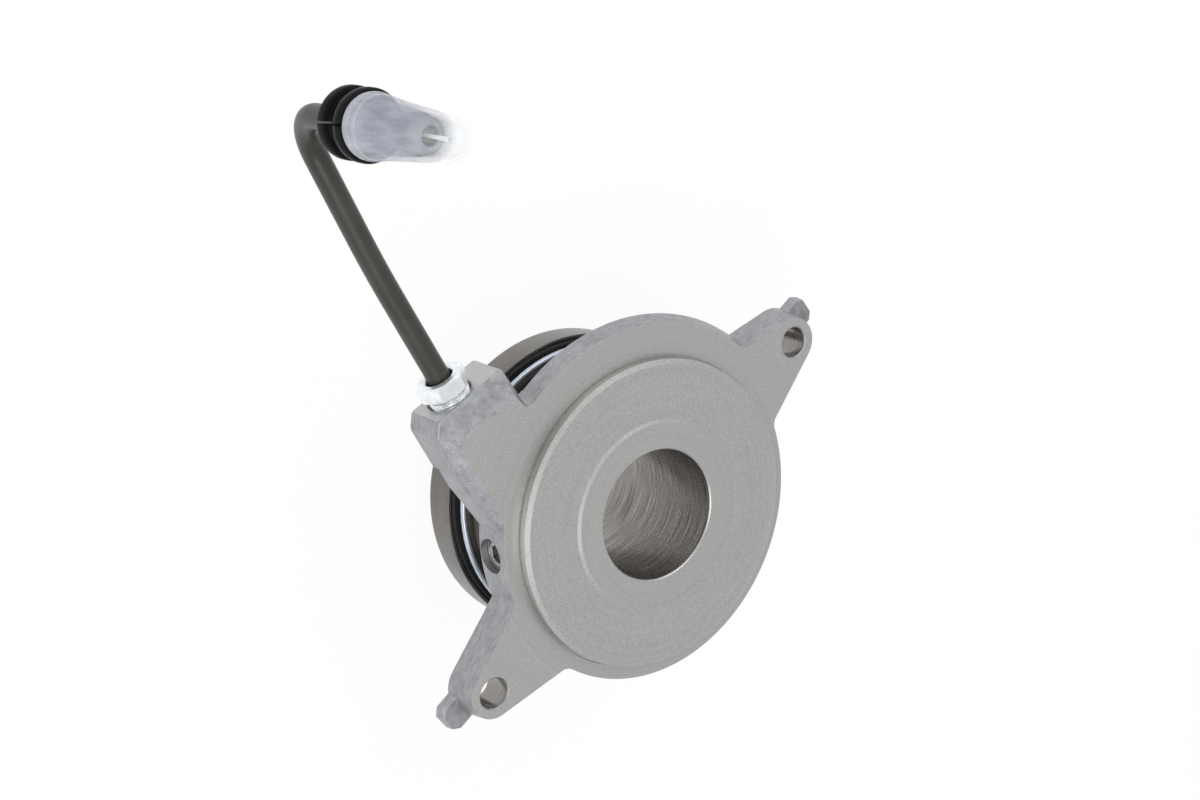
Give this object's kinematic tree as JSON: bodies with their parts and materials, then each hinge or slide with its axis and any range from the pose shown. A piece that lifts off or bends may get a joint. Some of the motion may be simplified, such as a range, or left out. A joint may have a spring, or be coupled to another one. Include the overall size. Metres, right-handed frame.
{
  "type": "clutch slave cylinder",
  "caption": "Concentric clutch slave cylinder: cast two-ear housing, sprung release bearing on a guide sleeve, and a bent hydraulic supply pipe with a capped end.",
  "frame": {"origin": "on the guide bore's axis, in the plane of the machined mounting face", "axes": "+Z along the guide bore out of the mounting face through the locating spigot, +X through the two bolt ears, +Y towards the supply pipe; the release bearing faces -Z"},
  "size_m": [0.13, 0.1691, 0.0983],
  "materials": {
    "cast_aluminium": "machined and as cast",
    "moulded_piston": "satin",
    "seal_rubber": "smooth",
    "support_plastic": "satin",
    "spring_steel": "blued",
    "pressed_steel": "satin",
    "seat_plastic": "matt",
    "spring_wire": "bright",
    "boot_rubber": "smooth",
    "bearing_steel": "ground",
    "ball_steel": "polished",
    "cage_plastic": "matt",
    "plug_steel": "plated",
    "soft_aluminium": "smooth",
    "zinc_plate": "zinc plated",
    "coated_tube": "satin coating",
    "grommet_rubber": "matt",
    "cap_plastic": "translucent"
  },
  "bodies": {
    "housing": {"housing": "cast_aluminium", "retaining_ring": "spring_steel", "hex_socket_plug": "plug_steel", "plug_seal_ring": "soft_aluminium", "pipe_nut": "zinc_plate", "pipe": "coated_tube", "pipe_grommet": "grommet_rubber", "pipe_end_fitting": "zinc_plate", "fitting_oring": "seal_rubber", "preload_spring": "spring_wire", "dust_boot": "boot_rubber"},
    "piston": {"piston": "moulded_piston", "piston_seal": "seal_rubber", "seal_support_ring": "support_plastic", "bearing_shell": "pressed_steel", "spring_seat": "seat_plastic", "bearing_outer_race": "bearing_steel", "bearing_seal": "seal_rubber"},
    "contact_race": {"bearing_contact_race": "bearing_steel"},
    "cage": {"ball_cage": "cage_plastic", "bearing_balls": "ball_steel"},
    "cap": {"transport_cap": "cap_plastic"}
  },
  "joints": [
    {"name": "piston_travel", "type": "slide", "parent": "housing", "child": "piston", "axis": [0, 0, 1], "range_m": [0, 0.011], "stiffness_N_per_m": 110, "springref_m": -0.028, "deforming": ["preload_spring", "dust_boot"]},
    {"name": "contact_spin", "type": "hinge", "parent": "piston", "child": "contact_race", "pos_m": [0, 0, -0.0411], "axis": [0, 0, 1], "continuous": true},
    {"name": "cage_spin", "type": "hinge", "parent": "piston", "child": "cage", "pos_m": [0, 0, -0.0411], "axis": [0, 0, 1], "continuous": true},
    {"name": "cap_pull", "type": "slide", "parent": "housing", "child": "cap", "axis": [0, 0, 1], "range_m": [0, 0.03]}
  ],
  "couplings": [
    {"joint": "cage_spin", "follows": "contact_spin", "ratio": 0.458}
  ]
}
